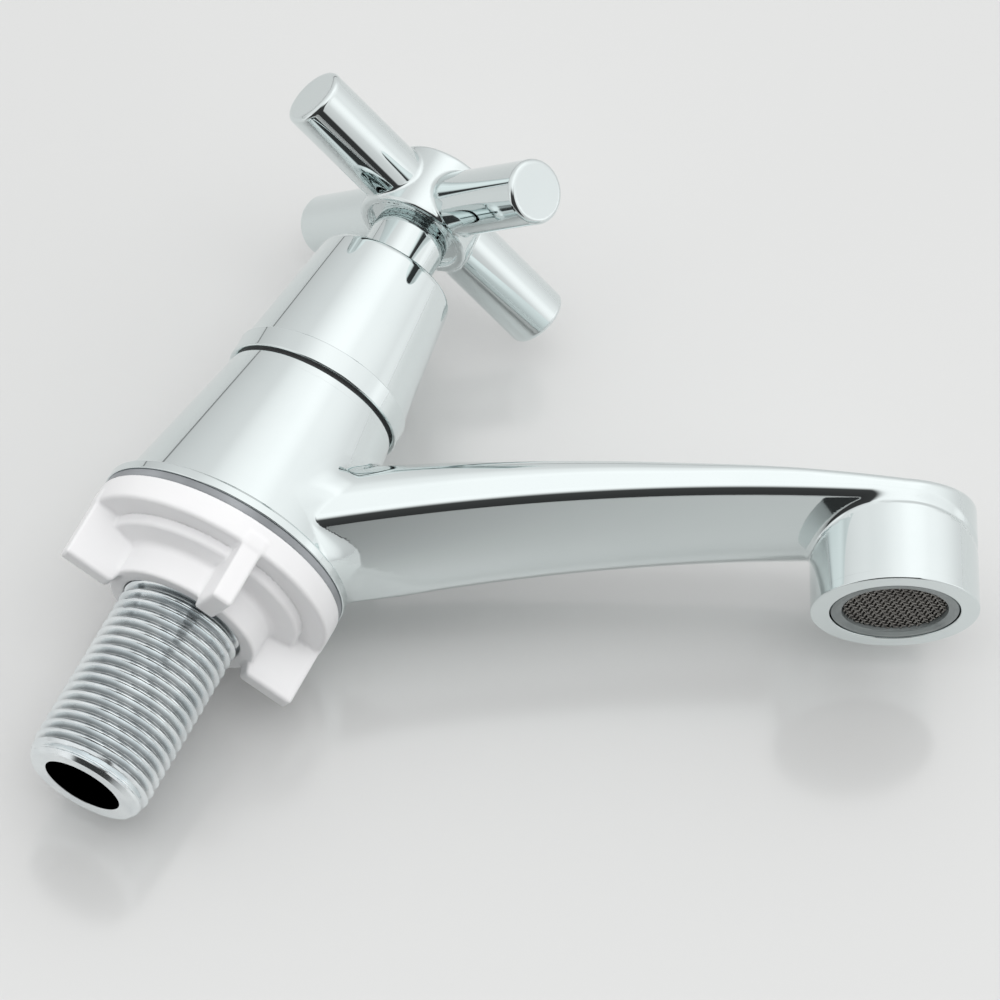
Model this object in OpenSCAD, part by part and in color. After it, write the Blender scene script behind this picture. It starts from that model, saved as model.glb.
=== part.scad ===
// Basin pillar tap: one tapered body with a swept flat spout, a cross handle on a
// quarter-turn headwork, a threaded inlet tail with a wing nut, and an aerator.
// It stands as installed: +Z runs up the body axis and Z = 0 is the face it stands on.
// +X points at the outlet, and XZ is the plane of symmetry of everything but the handle.

/* [Inlet tail] */
// Major diameter of the G 1/2 tail thread
thread_d = 20.955; // [20.7:0.005:21.1]
// Length of the tail below the face the tap stands on
tail_len = 45.3; // [38:0.1:60]
// Length of the tail that screws up into the body
tail_in_body = 7; // [6:0.1:7.2]
// Bore of the tail
tail_bore_d = 13.2; // [11:0.1:14]
// Lead-in chamfer at the free end
tail_chamfer = 1.3; // [0.8:0.1:1.8]

/* [Foot and body] */
// Diameter of the round foot
foot_d = 44.1; // [42:0.1:48]
// Height of the foot's upright rim
foot_rim_h = 1.1; // [0.6:0.1:1.8]
// Height over which the foot slopes in to the body
foot_slope_h = 1.4; // [0.8:0.1:2.5]
// Thickness of the sealing ring under the foot
gasket_t = 1.42; // [1:0.01:2.5]
// Body diameter where it leaves the foot
body_foot_d = 40.4; // [39:0.1:41]
// Body diameter under the headwork
body_top_d = 29.9; // [29.4:0.1:31]
// Height of the body's top face
body_h = 31.3; // [31:0.1:32]

/* [Spout] */
// Length of the spout, from the body axis to the centre of the outlet's rim
spout_len = 101.2; // [96:0.1:108]
// Height at which the plane of the outlet's rim meets the spout's root
root_z = 0.7; // [-1:0.1:5]
// Lean of the outlet's axis away from the body
outlet_lean = 26.2; // [24:0.1:28]
// Diameter of the outlet head
head_d = 27.76; // [27.4:0.02:29]
// Width of the spout where it meets the body
root_w = 30.4; // [29:0.1:32]
// Height of the spout's upper edge over the rim's plane, at the outlet
edge_at_outlet = 18.2; // [17.6:0.1:18.6]
// The same half way along the spout
edge_half_way = 18.2; // [17.6:0.1:19]
// The same at the body
edge_at_body = 10.4; // [9:0.1:11]
// Radius that rounds the upper edges
edge_round = 2.3; // [1.5:0.1:2.6]
// Height of the spout's lower edge over the rim's plane, at the outlet
crease_at_outlet = 14.9; // [14.4:0.1:15.2]
// The same half way along the spout
crease_half_way = 12.3; // [11.8:0.1:12.8]
// The same at the body
crease_at_body = 3.7; // [3:0.1:4.2]
// Rise of the crowned top over the upper edges, at the outlet
crown = 0.9; // [0.6:0.1:1.6]
// Extra rise of the top where it sweeps up into the body
root_crown = 6.4; // [5:0.1:7]
// Slope of the belly's two flanks at the outlet
belly_slope = 0.45; // [0.3:0.01:0.5]
// The same at the body
root_slope = 0.81; // [0.7:0.01:0.85]
// Rounding of the belly's keel between the flanks
keel_r = 4.8; // [3:0.1:6]

/* [Waterway] */
// Width of the duct in the spout
duct_w = 16; // [12:0.5:17]
// Height of the duct in the spout
duct_h = 3.6; // [3:0.1:3.8]
// Diameter of the ring chamber round the valve
chamber_d = 25; // [23:0.5:26]
// Diameter of the inlet port under the valve
port_d = 12; // [9:0.5:12]
// Height of the valve seat
seat_h = 13; // [12.6:0.1:13.4]

/* [Headwork] */
// Diameter of the headwork's body thread
headwork_d = 20; // [19:0.1:20.2]
// Thickness of the ring between body and headwork
head_gasket_t = 0.6; // [0.4:0.05:0.6]
// Width across the flats of the headwork's hexagon
hex_af = 22; // [21:0.5:22.5]
// Diameter of the headwork's upper barrel
barrel_d = 17.2; // [16:0.1:18]
// Distance from the barrel's top up to the bonnet's top
barrel_gap = 4.9; // [4.5:0.1:6]
// Diameter of the spindle
spindle_d = 9.2; // [8:0.1:9.6]
// Diameter of the ceramic discs
disc_d = 14.6; // [13:0.1:14.8]
// Thickness of each ceramic disc
disc_t = 2.4; // [2:0.1:2.6]
// Side of the squares that make the twenty-toothed spline
spline_sq = 6.2; // [5.6:0.1:6.4]

/* [Bonnet] */
// Diameter of the band round the bonnet's foot
band_d = 31; // [30.6:0.1:32]
// Height of that band
band_h = 3.9; // [3:0.1:5]
// Bonnet diameter above the band
bonnet_foot_d = 30.1; // [29.6:0.1:30.6]
// Bonnet diameter at its rounded top edge
bonnet_top_d = 23.9; // [23:0.1:25]
// Height of the bonnet's top
bonnet_top = 58.9; // [58:0.1:60]
// Wall of the bonnet
bonnet_wall = 1.5; // [1.2:0.1:1.8]

/* [Cross handle] */
// Diameter of the neck between bonnet and hub
neck_d = 13; // [12.4:0.1:13.4]
// Hub diameter at its lower rim
hub_d = 20; // [19:0.1:21]
// Hub diameter at its top
hub_top_d = 18; // [17:0.1:19]
// Height of the hub's underside
hub_z = 68; // [67.5:0.1:69]
// Height of the hub
hub_h = 12.6; // [12:0.1:14]
// Height of the arms' axes over the hub's underside
arm_over_hub = 5.7; // [5.6:0.1:6]
// Diameter of an arm
arm_d = 10.9; // [10:0.1:11.2]
// Distance from the axis to an arm's end
arm_len = 29.6; // [26:0.1:34]
// Turn of the cross in the closed position
arm_turn = -51; // [-89:1:0]

/* [Aerator] */
// Diameter of the aerator
aerator_d = 21.3; // [20.4:0.1:21.4]
// Depth of the aerator's body
aerator_h = 9; // [7:0.1:9.4]
// Diameter of the visible mesh
mesh_d = 17; // [15:0.1:17]

/* [Wing nut] */
// How far the nut's flange stands out past the foot
nut_margin = 0.05; // [0:0.05:2]
// Diameter of the nut's hub
nut_hub_d = 26.6; // [25.6:0.1:28]
// Height of the nut over its wings
nut_h = 15.2; // [14:0.1:18]
// Height of its threaded hub
nut_hub_h = 12.7; // [11:0.1:14]
// Thickness of a wing
wing_t = 3.6; // [2.5:0.1:4.5]
// Turn of the wings as photographed
wing_turn = 21; // [0:1:89]

/* [Fits] */
// Radial clearance of the nut on the tail
nut_fit = 0.09; // [0.05:0.01:0.1]
// Radial clearance of the spindle in the headwork
spindle_fit = 0.05; // [0.02:0.01:0.1]
// Radial clearance of screwed and pressed joints
joint_fit = 0.03; // [0.02:0.01:0.05]
// Gap between faces that slide over each other
slide_gap = 0.02; // [0.01:0.01:0.05]

/* [Hidden] */
$fn = 96;
over = 1;
barrel_top = bonnet_top - barrel_gap;
arm_z = hub_z + arm_over_hub;
thread_r = thread_d / 2;
far = 2 * spout_len;
// The stretch of tail inside the nut and the body is a little smaller than the free thread
tail_grip_r = thread_r - 0.2;
free_thread_top = -nut_h - 0.8;
foot_r = foot_d / 2;
nut_r = foot_r + nut_margin;
nut_hub_r = nut_hub_d / 2;
body_z = gasket_t + foot_rim_h + foot_slope_h;
head_r = head_d / 2;
reach = spout_len - 1.2;
outlet_z = root_z + reach * sin(outlet_lean);
edge_h = [edge_at_outlet, edge_half_way, edge_at_body];
crease_h = [crease_at_outlet, crease_half_way, crease_at_body];
tail_seal_t = 1;
socket_top = tail_in_body + tail_seal_t;
floor_t = 1.8;
chamber_z = socket_top + floor_t;
chamber_top = 21;
gap_top = body_h + head_gasket_t;
seal_t = 1.8;
disc_z = seat_h + seal_t;
pocket_r = disc_d / 2 + 0.1;
hole_r = 0.144 * disc_d;
hole_x = 0.24 * disc_d;
bay_r = 0.205 * disc_d;
bay_y = 0.384 * disc_d;
driver_z = disc_z + 2 * disc_t + slide_gap;
driver_h = 3.2;
driver_r = disc_d / 2 - 0.5;
key_w = 3;
key_h = 1.1;
washer_t = 0.55;
washer_z = driver_z + driver_h;
bore_z = washer_z + washer_t + slide_gap;
spindle_r = spindle_d / 2;
spindle_bore_r = spindle_r + spindle_fit;
ring_groove_w = 1.6;
ring_groove_r = spindle_r - 1.1;
ring_zs = [barrel_top - 16, barrel_top - 10];
skirt_r = 8.7;
hex_h = 3.6;
rib_z = barrel_top - 10;
rib_h = 6;
rib_r = barrel_d / 2 + 0.6;
clip_t = 0.9;
clip_z = barrel_top + 0.1;
spline_z = barrel_top + 2;
neck_z = spline_z + 0.4;
neck_bore_r = 4.7;
neck_step = 1;
neck_step_h = 2;
neck_gap = 0.4;
spindle_top = hub_z + 5;
screw_r = 2;
screw_head_r = 3.6;
screw_head_z = hub_z + 7.2;
screw_head_h = 2.4;
screw_z = spline_z + 5;
slot_w = 1;
slot_z = screw_head_z + 1.4;
cap_r = 6.2;
cap_h = 2.4;
cap_z = hub_z + hub_h - 1.3;
socket_depth = aerator_h + 1.4;
mesh_z = 1.2;
mesh_t = 0.4;
mesh_step = 2.2;
mesh_hole_r = 0.8;
insert_z = 3;
insert_h = 4.6;
aerator_r = aerator_d / 2;
socket_r = aerator_r + 0.1;
outlet_void_r = 8.5;
void_top = edge_at_outlet - 1.8;
arc_steps = 6;

// Points on an arc about (x, z), from angle a to angle b
function arc(x, z, r, a, b) =
    [for (i = [0:arc_steps]) let (t = a + (b - a) * i / arc_steps) [x + r * cos(t), z + r * sin(t)]];

// Smooth curve through three heights: at the outlet, half way and at the body
function through(h, u) = let (t = -u / reach)
    h[0] + (4 * h[1] - 3 * h[0] - h[2]) * t + (2 * h[0] + 2 * h[2] - 4 * h[1]) * t * t;
// Past the outlet's axis the top runs on nearly level
function eased(u) = u > 0 ? 0.3 * u : u;
function half_w(u) = head_r + (root_w / 2 - head_r) * max(0, -u) / reach;
// 0 near the outlet and 1 at the body, with an S-shaped curve between
function sweep(u) = let (t = max(0, min(1, (-u / reach - 0.2) / 0.8))) t * t * (3 - 2 * t);
function crown_at(u) = crown + root_crown * sweep(u);
function slope_at(u) = belly_slope + (root_slope - belly_slope) * max(0, -u) / reach;
// How far the rounded upper edge drops at a distance from the spout's middle, or from the outlet's axis
function drop(u, y) =
    let (r = u > 0 ? norm([u, y]) : abs(y), q = max(0, min(edge_round, r - half_w(u) + edge_round)))
    edge_round - sqrt(edge_round * edge_round - q * q);
function top_at(u, y) = through(edge_h, eased(u)) + crown_at(u) * (1 - pow(y / half_w(u), 2)) - drop(u, y);
// Two flanks that meet in a rounded keel: a hyperbola across the spout
function under_at(u, y) = let (a = half_w(u), k = keel_r * keel_r)
    through(crease_h, eased(u)) - slope_at(u) * max(0, sqrt(a * a + k) - sqrt(y * y + k));

module revolve(points) rotate_extrude() polygon(points);

// Frame of the outlet: origin at the centre of its rim, Z up the outlet's axis
module at_outlet() translate([spout_len, 0, outlet_z]) rotate([0, -outlet_lean, 0]) children();

// Block between the crowned top surface and the belly, wider than the spout
module blade() {
    nu = 34;
    nv = 18;
    back = reach + 12;
    // Rows stand closer where the top is rounded: round the outlet's front and along both edges
    us = concat([for (i = [0:26]) back * (i / 26 - 1)], [for (i = [1:7]) head_r * sin(i * 90 / 7)],
        [head_r + 2]);
    function row(u, j) = j == 0 || j == nv ? (2 * j / nv - 1) * 1.16 * half_w(u)
        : (half_w(u) + 0.02) * sin(180 * (j - 1) / (nv - 2) - 90);
    top = [for (u = us) for (j = [0:nv]) let (y = row(u, j)) [u, y, top_at(u, y)]];
    low = [for (u = us) for (j = [0:nv]) let (y = row(u, j)) [u, y, under_at(u, y)]];
    m = nv + 1;
    n = (nu + 1) * m;
    faces = concat(
        [for (i = [0:nu - 1]) for (j = [0:nv - 1]) let (k = i * m + j) [k, k + 1, k + m + 1]],
        [for (i = [0:nu - 1]) for (j = [0:nv - 1]) let (k = i * m + j) [k, k + m + 1, k + m]],
        [for (i = [0:nu - 1]) for (j = [0:nv - 1]) let (k = n + i * m + j) [k, k + m + 1, k + 1]],
        [for (i = [0:nu - 1]) for (j = [0:nv - 1]) let (k = n + i * m + j) [k, k + m, k + m + 1]],
        [for (i = [0:nu - 1]) let (k = i * m) [k, k + m, n + k + m]],
        [for (i = [0:nu - 1]) let (k = i * m) [k, n + k + m, n + k]],
        [for (i = [0:nu - 1]) let (k = i * m + nv) [k, n + k + m, k + m]],
        [for (i = [0:nu - 1]) let (k = i * m + nv) [k, n + k, n + k + m]],
        [for (j = [0:nv - 1]) [j, n + j + 1, j + 1]],
        [for (j = [0:nv - 1]) [j, n + j, n + j + 1]],
        [for (j = [0:nv - 1]) let (k = nu * m + j) [k, k + 1, n + k + 1]],
        [for (j = [0:nv - 1]) let (k = nu * m + j) [k, n + k + 1, n + k]]);
    polyhedron(points = concat(top, low), faces = faces, convexity = 6);
}

// Plan of the spout: a band widening towards the body, with the round head at its end
module spout_plan() {
    turn = asin((root_w / 2 - head_r) / reach);
    circle(r = head_r);
    for (s = [-1, 1]) polygon([[0, 0], [head_r * sin(turn), s * head_r * cos(turn)],
        [-reach - 14, s * (root_w / 2 + 14 * tan(turn))], [-reach - 14, 0]]);
}

module spout() {
    difference() {
        at_outlet() intersection() {
            translate([0, 0, -spout_len / 4]) linear_extrude(spout_len) spout_plan();
            blade();
        }
        translate([-far / 2, -far / 2, gasket_t + foot_rim_h - far]) cube([2 * far, far, far]);
    }
    at_outlet() cylinder(r = head_r, h = edge_at_outlet - edge_round - 0.4);
}

// Curved duct from the valve chamber to the outlet head
module duct() {
    bend = 900;
    at_outlet() translate([20.7, 0, 16.67 - bend]) rotate([90, 0, 0])
        rotate([0, 0, 91.6]) rotate_extrude(angle = 0.064 * reach, $fn = 720)
        translate([bend - duct_h / 2, -duct_w / 2]) square([duct_h, duct_w]);
}

module body() color([0.86, 0.87, 0.88]) difference() {
    union() {
        revolve([[0, gasket_t], [foot_r - 0.2, gasket_t], [foot_r, gasket_t + 0.2],
            [foot_r, gasket_t + foot_rim_h], [foot_r - 0.7, body_z - 0.6], [body_foot_d / 2, body_z],
            [body_top_d / 2, body_h], [0, body_h]]);
        spout();
    }
    cylinder(r = tail_grip_r + joint_fit, h = socket_top);
    cylinder(d = port_d, h = seat_h + over);
    difference() {
        translate([0, 0, chamber_z]) cylinder(d = chamber_d, h = chamber_top - chamber_z);
        cylinder(d = port_d + 4.4, h = seat_h);
    }
    translate([0, 0, chamber_top - over]) cylinder(d = headwork_d + 2 * joint_fit, h = body_h);
    difference() {
        duct();
        translate([0, 0, -over]) cylinder(d = chamber_d - 2, h = far);
    }
    at_outlet() {
        translate([0, 0, -over]) cylinder(r = socket_r, h = socket_depth + over);
        cylinder(r = outlet_void_r, h = void_top);
    }
}

module inlet_tail() color([0.72, 0.73, 0.74]) difference() {
    revolve([[0, -tail_len], [thread_r - tail_chamfer, -tail_len], [thread_r, tail_chamfer - tail_len],
        [thread_r, free_thread_top], [tail_grip_r, free_thread_top], [tail_grip_r, tail_in_body],
        [0, tail_in_body]]);
    translate([0, 0, -tail_len - over]) cylinder(d = tail_bore_d, h = tail_len + tail_in_body + 2 * over);
}

module tail_seal() color([0.1, 0.1, 0.1]) translate([0, 0, tail_in_body]) difference() {
    cylinder(r = tail_grip_r - 0.1, h = tail_seal_t);
    translate([0, 0, -over]) cylinder(d = tail_bore_d + 1, h = tail_seal_t + 2 * over);
}

module base_gasket() color([0.45, 0.46, 0.46]) difference() {
    cylinder(r = foot_r - 0.05, h = gasket_t);
    translate([0, 0, -over]) cylinder(r = thread_r + 0.3, h = gasket_t + 2 * over);
}

module wing() rotate([90, 0, 0]) translate([0, 0, -wing_t / 2]) linear_extrude(wing_t)
    polygon([[nut_hub_r - 1, -3], [nut_r - 0.05, -3], [nut_r - 0.05, -4.6],
        [nut_r - 0.5, 1.6 - nut_h], [nut_r - 1.5, 0.6 - nut_h], [nut_hub_r, 0.5 - nut_h],
        [nut_hub_r - 1, 0.6 - nut_hub_h]]);

module backnut() color([0.95, 0.95, 0.94]) difference() {
    union() {
        revolve([[0, -nut_hub_h], [nut_hub_r - 0.6, -nut_hub_h], [nut_hub_r, 0.6 - nut_hub_h],
            [nut_hub_r + 0.3, -7.2], [nut_hub_r + 1.2, -6.5], [nut_r - 5.2, -6.1],
            [nut_r - 4.5, -4.9], [nut_r - 1, -4.5], [nut_r, -3.4], [nut_r, -0.3],
            [nut_r - 0.3, 0], [0, 0]]);
        for (k = [0:3]) rotate([0, 0, wing_turn + 90 * k]) wing();
    }
    translate([0, 0, -nut_h - over]) cylinder(r = thread_r + nut_fit, h = nut_h + 2 * over);
}

module head_gasket() color([0.06, 0.06, 0.06]) translate([0, 0, body_h]) difference() {
    cylinder(d = body_top_d - 0.7, h = head_gasket_t);
    translate([0, 0, -over]) cylinder(d = headwork_d + 0.4, h = head_gasket_t + 2 * over);
}

module headwork_housing() color([0.78, 0.65, 0.36]) difference() {
    union() {
        revolve([[0, seat_h + 0.2], [skirt_r, seat_h + 0.2], [skirt_r, chamber_top],
            [headwork_d / 2, chamber_top], [headwork_d / 2, gap_top + over],
            [barrel_d / 2, gap_top + over], [barrel_d / 2, rib_z],
            [rib_r, rib_z], [rib_r, rib_z + rib_h], [barrel_d / 2, rib_z + rib_h],
            [barrel_d / 2, barrel_top - 0.6], [barrel_d / 2 - 0.6, barrel_top], [0, barrel_top]]);
        translate([0, 0, gap_top]) cylinder(d = hex_af / cos(30), h = hex_h, $fn = 6);
    }
    translate([0, 0, seat_h - over]) cylinder(r = pocket_r, h = driver_z - seat_h + over);
    translate([0, 0, driver_z - over]) cylinder(r = driver_r + 0.1, h = bore_z - driver_z + over);
    translate([0, 0, bore_z - over]) cylinder(r = spindle_bore_r, h = barrel_top);
    translate([-15, -4, disc_z + disc_t]) cube([30, 8, disc_t + 0.6]);
}

module seat_seal() color([0.1, 0.1, 0.1]) translate([0, 0, seat_h]) difference() {
    cylinder(r = pocket_r - 0.05, h = seal_t);
    translate([0, 0, -over]) cylinder(d = port_d, h = seal_t + 2 * over);
}

module fixed_disc() color([0.93, 0.92, 0.88]) translate([0, 0, disc_z]) difference() {
    cylinder(d = disc_d, h = disc_t);
    for (s = [-1, 1]) translate([s * hole_x, 0, -over]) cylinder(r = hole_r, h = disc_t + 2 * over);
}

// Its two side bays line up with the fixed disc's ports after a quarter turn
module turning_disc() color([0.9, 0.9, 0.93]) translate([0, 0, disc_z + disc_t + slide_gap])
    difference() {
        cylinder(d = disc_d - 0.1, h = disc_t);
        for (s = [-1, 1]) translate([0, s * bay_y, -over]) cylinder(r = bay_r, h = disc_t + 2 * over);
        translate([-disc_d, -key_w / 2 - 0.1, disc_t - key_h - 0.1])
            cube([2 * disc_d, key_w + 0.2, disc_t]);
    }

module spline_2d(grow) for (k = [0:4]) rotate(18 * k) square(spline_sq + 2 * grow, center = true);

module spindle() color([0.8, 0.68, 0.4]) difference() {
    union() {
        translate([-driver_r + 1, -key_w / 2, driver_z - key_h])
            cube([2 * driver_r - 2, key_w, key_h + over]);
        translate([0, 0, driver_z]) cylinder(r = driver_r, h = driver_h);
        translate([0, 0, driver_z]) cylinder(r = spindle_r, h = spline_z - driver_z);
        translate([0, 0, spline_z - over]) linear_extrude(spindle_top - spline_z + over) spline_2d(0);
    }
    for (z = ring_zs) translate([0, 0, z]) difference() {
        cylinder(r = spindle_r + over, h = ring_groove_w);
        translate([0, 0, -over]) cylinder(r = ring_groove_r, h = ring_groove_w + 2 * over);
    }
    translate([0, 0, clip_z - 0.05]) difference() {
        cylinder(r = spindle_r + over, h = clip_t + 0.1);
        translate([0, 0, -over]) cylinder(r = spindle_r - 0.6, h = clip_t + 2 * over);
    }
    translate([0, 0, screw_z - over]) cylinder(r = screw_r + joint_fit, h = spindle_top);
}

module spindle_ring(z) color([0.08, 0.08, 0.08]) translate([0, 0, z + ring_groove_w / 2])
    rotate_extrude() translate([spindle_r - 0.52, 0]) circle(r = 0.55, $fn = 32);

module spindle_ring_lower() spindle_ring(ring_zs[0]);
module spindle_ring_upper() spindle_ring(ring_zs[1]);

module friction_washer() color([0.92, 0.9, 0.82]) translate([0, 0, washer_z]) difference() {
    cylinder(r = driver_r - 0.05, h = washer_t);
    translate([0, 0, -over]) cylinder(r = spindle_r + 0.05, h = washer_t + 2 * over);
}

module circlip() color([0.6, 0.6, 0.62]) translate([0, 0, clip_z]) difference() {
    cylinder(r = spindle_r + 1.2, h = clip_t);
    translate([0, 0, -over]) cylinder(r = spindle_r - 0.57, h = clip_t + 2 * over);
    translate([0, -1.5, -over]) cube([10, 3, clip_t + 2 * over]);
}

module bonnet() color([0.88, 0.89, 0.9]) difference() {
    foot_z = gap_top + band_h;
    slope = (bonnet_foot_d - bonnet_top_d) / 2 / (bonnet_top - 1.6 - foot_z);
    revolve(concat([[0, gap_top], [band_d / 2 - 0.3, gap_top], [band_d / 2, gap_top + 0.3],
        [band_d / 2, foot_z - 0.5], [band_d / 2 - 0.4, foot_z], [bonnet_foot_d / 2, foot_z]],
        arc(bonnet_top_d / 2 - 1.6, bonnet_top - 1.6, 1.6, 0, 90), [[0, bonnet_top]]));
    inner = bonnet_foot_d / 2 - bonnet_wall;
    roof = bonnet_top - 1.7;
    difference() {
        revolve([[0, gap_top - over], [inner, gap_top - over], [inner, foot_z],
            [inner - slope * (roof - foot_z), roof], [0, roof]]);
        difference() {
            translate([0, 0, rib_z]) cylinder(d = bonnet_foot_d + over, h = rib_h);
            cylinder(r = rib_r + joint_fit, h = bonnet_top);
        }
    }
    cylinder(r = neck_d / 2 + neck_gap, h = bonnet_top + over);
}

module neck() color([0.88, 0.89, 0.9]) difference() {
    union() {
        translate([0, 0, neck_z]) cylinder(d = neck_d, h = hub_z - neck_z);
        translate([0, 0, neck_z]) cylinder(r = neck_d / 2 - neck_step, h = hub_z + neck_step_h - neck_z);
    }
    cylinder(r = neck_bore_r, h = hub_z + 3);
}

module arm() rotate([0, 90, 0]) revolve(concat([[0, 0], [arm_d / 2, 0]],
    arc(arm_d / 2 - 0.9, arm_len - 0.9, 0.9, 0, 90), [[0, arm_len]]));

module handle() color([0.88, 0.89, 0.9]) difference() {
    union() {
        revolve(concat([[0, hub_z]], arc(hub_d / 2 - 1, hub_z + 1, 1, -90, 0),
            arc(hub_top_d / 2 - 1, hub_z + hub_h - 1, 1, 0, 90), [[0, hub_z + hub_h]]));
        for (k = [0:3]) rotate([0, 0, arm_turn + 90 * k]) translate([0, 0, arm_z]) arm();
    }
    translate([0, 0, hub_z - over]) cylinder(r = neck_d / 2 - neck_step + joint_fit, h = neck_step_h + over);
    translate([0, 0, hub_z]) linear_extrude(spindle_top + 0.2 - hub_z) spline_2d(joint_fit);
    cylinder(r = screw_r + 0.15, h = screw_head_z + over);
    translate([0, 0, screw_head_z]) cylinder(r = screw_head_r + 0.6, h = cap_z - screw_head_z + over);
    translate([0, 0, cap_z]) cylinder(r = cap_r + joint_fit, h = hub_h);
}

module handle_screw() color([0.7, 0.7, 0.72]) difference() {
    union() {
        translate([0, 0, screw_z]) cylinder(r = screw_r, h = screw_head_z - screw_z + over);
        translate([0, 0, screw_head_z]) cylinder(r = screw_head_r, h = screw_head_h);
    }
    for (a = [0, 90]) rotate([0, 0, a]) translate([-screw_head_r - over, -slot_w / 2, slot_z])
        cube([2 * (screw_head_r + over), slot_w, screw_head_h]);
}

module index_cap() color([0.86, 0.87, 0.88]) translate([0, 0, cap_z])
    revolve([[0, 0], [cap_r, 0], [cap_r, cap_h - 1], [cap_r - 0.5, cap_h - 0.6],
        [0.6 * cap_r, cap_h - 0.2], [0, cap_h]]);

module aerator_housing() color([0.66, 0.68, 0.69]) at_outlet() difference() {
    translate([0, 0, 0.1]) cylinder(r = aerator_r, h = aerator_h - 0.1);
    translate([0, 0, mesh_z]) cylinder(d = mesh_d + 0.3, h = aerator_h);
    translate([0, 0, -over]) cylinder(d = mesh_d - 0.6, h = aerator_h);
}

module aerator_mesh() color([0.5, 0.5, 0.5]) at_outlet() translate([0, 0, mesh_z]) difference() {
    cylinder(d = mesh_d + 0.2, h = mesh_t);
    for (i = [-3:3]) for (j = [-3:3])
        let (x = mesh_step * (i + j / 2), y = mesh_step * j * sin(60))
        if (norm([x, y]) < mesh_d / 2 - 2 * mesh_hole_r) translate([x, y, -over])
            cylinder(r = mesh_hole_r, h = mesh_t + 2 * over, $fn = 24);
}

module aerator_insert() color([0.9, 0.9, 0.9]) at_outlet() translate([0, 0, insert_z]) difference() {
    cylinder(d = mesh_d + 0.2, h = insert_h);
    translate([0, 0, 1.2]) cylinder(d = mesh_d - 2.4, h = insert_h);
    for (k = [0:7]) rotate([0, 0, 45 * k]) translate([0.27 * mesh_d, 0, -over])
        cylinder(r = 0.07 * mesh_d, h = insert_h, $fn = 24);
}

module aerator_seal() color([0.1, 0.1, 0.1]) at_outlet() translate([0, 0, aerator_h]) difference() {
    cylinder(r = aerator_r - 0.1, h = socket_depth - aerator_h);
    translate([0, 0, -over]) cylinder(r = outlet_void_r, h = socket_depth);
}

body();
inlet_tail();
tail_seal();
base_gasket();
backnut();
head_gasket();
headwork_housing();
seat_seal();
fixed_disc();
turning_disc();
spindle();
spindle_ring_lower();
spindle_ring_upper();
friction_washer();
circlip();
bonnet();
neck();
handle();
handle_screw();
index_cap();
aerator_housing();
aerator_mesh();
aerator_insert();
aerator_seal();
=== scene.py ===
# %% [markdown]
# A basin pillar tap lies on its side on a pale glossy table, as in a shop's picture.
# The tap is chromed brass, with a zinc-plated tail, a white plastic wing nut and a
# grey sealing ring. Chrome has no colour of its own: it shows the room. So the shapes
# have to be smooth to a hundredth of a millimetre, and the light needs as much care
# as the metal. Everything new here is a surface worked out with numpy.

# %% Load the measured tap
import math
import bpy
import numpy as np
from mathutils import Matrix, Vector


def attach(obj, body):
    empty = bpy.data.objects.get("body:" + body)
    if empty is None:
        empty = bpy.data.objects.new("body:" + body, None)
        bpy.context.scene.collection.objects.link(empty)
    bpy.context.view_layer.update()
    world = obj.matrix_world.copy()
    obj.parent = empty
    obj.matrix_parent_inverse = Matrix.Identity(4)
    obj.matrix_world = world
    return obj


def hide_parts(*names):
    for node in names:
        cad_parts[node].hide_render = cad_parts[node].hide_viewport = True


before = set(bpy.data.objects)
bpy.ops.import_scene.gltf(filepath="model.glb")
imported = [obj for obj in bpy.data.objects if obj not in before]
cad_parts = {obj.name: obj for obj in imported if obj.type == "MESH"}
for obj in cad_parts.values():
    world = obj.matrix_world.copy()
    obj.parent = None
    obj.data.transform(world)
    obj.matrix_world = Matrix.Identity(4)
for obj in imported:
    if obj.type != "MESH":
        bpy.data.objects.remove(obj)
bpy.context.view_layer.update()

# %% [markdown]
# Sizes first, in millimetres and in the tap's own frame: Z runs up the body's axis,
# X points at the outlet and the deck would be at Z = 0. The outlet leans outwards, so
# it gets a frame of its own: u along the spout, w up the outlet's axis.

# %% The sizes that the pieces share
MM = 0.001
# Tail: its end, the thread's crests, pitch and half its depth, and the bore
TAIL_END = -45.3
THREAD_R = 20.955 / 2
PITCH = 1.814
HALF_DEPTH = 0.58
BORE_R = 6.6
# Foot and cone: CONE_FOOT is a radius and its height; the collar makes the top edge
FOOT_R = 22.05
GASKET_TOP = 1.42
CONE_FOOT = (20.2, 3.92)
CONE_TOP_R = 14.95
BODY_H = 31.3
COLLAR_H = 1.5
UNDER_COLLAR = 0.6
# Outlet head: where its rim's centre is, how far it leans, its radius and its socket's
OUTLET = np.array([101.2, 0.0, 44.85])
LEAN = math.radians(26.2)
HEAD_R = 13.88
SOCKET_R = 10.75
# Spout: length, half width at the body, how round its keel is, and the heights of its
# side edges at the outlet, half way and at the body
SPOUT = 100.0
ROOT_HALF = 15.2
KEEL = 4.75
UPPER_EDGE = (18.2, 18.23, 10.4)
LOWER_EDGE = (14.88, 12.32, 3.66)
# Bonnet, neck and cross handle
BONNET_R = 15.5
BONNET_TOP = 58.9
NECK_R = 6.5
HUB_Z = 68.0
ARM_Z = 73.7
ARM_R = 5.45
ARM_END = 29.59
ARM_TURN = -51.0
# Wing nut
FLANGE_R = 22.1
NUT_HUB_R = 13.3
WING_HALF = 1.8
WING_TURN = 21.0


def at_outlet(v, direction=False):
    """Points of the outlet's frame in the tap's frame; a direction is only turned."""
    c, s = math.cos(LEAN), math.sin(LEAN)
    u, y, w = v[..., 0], v[..., 1], v[..., 2]
    out = np.stack([u * c - w * s, y, u * s + w * c], axis=-1)
    return out if direction else out + OUTLET


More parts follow.
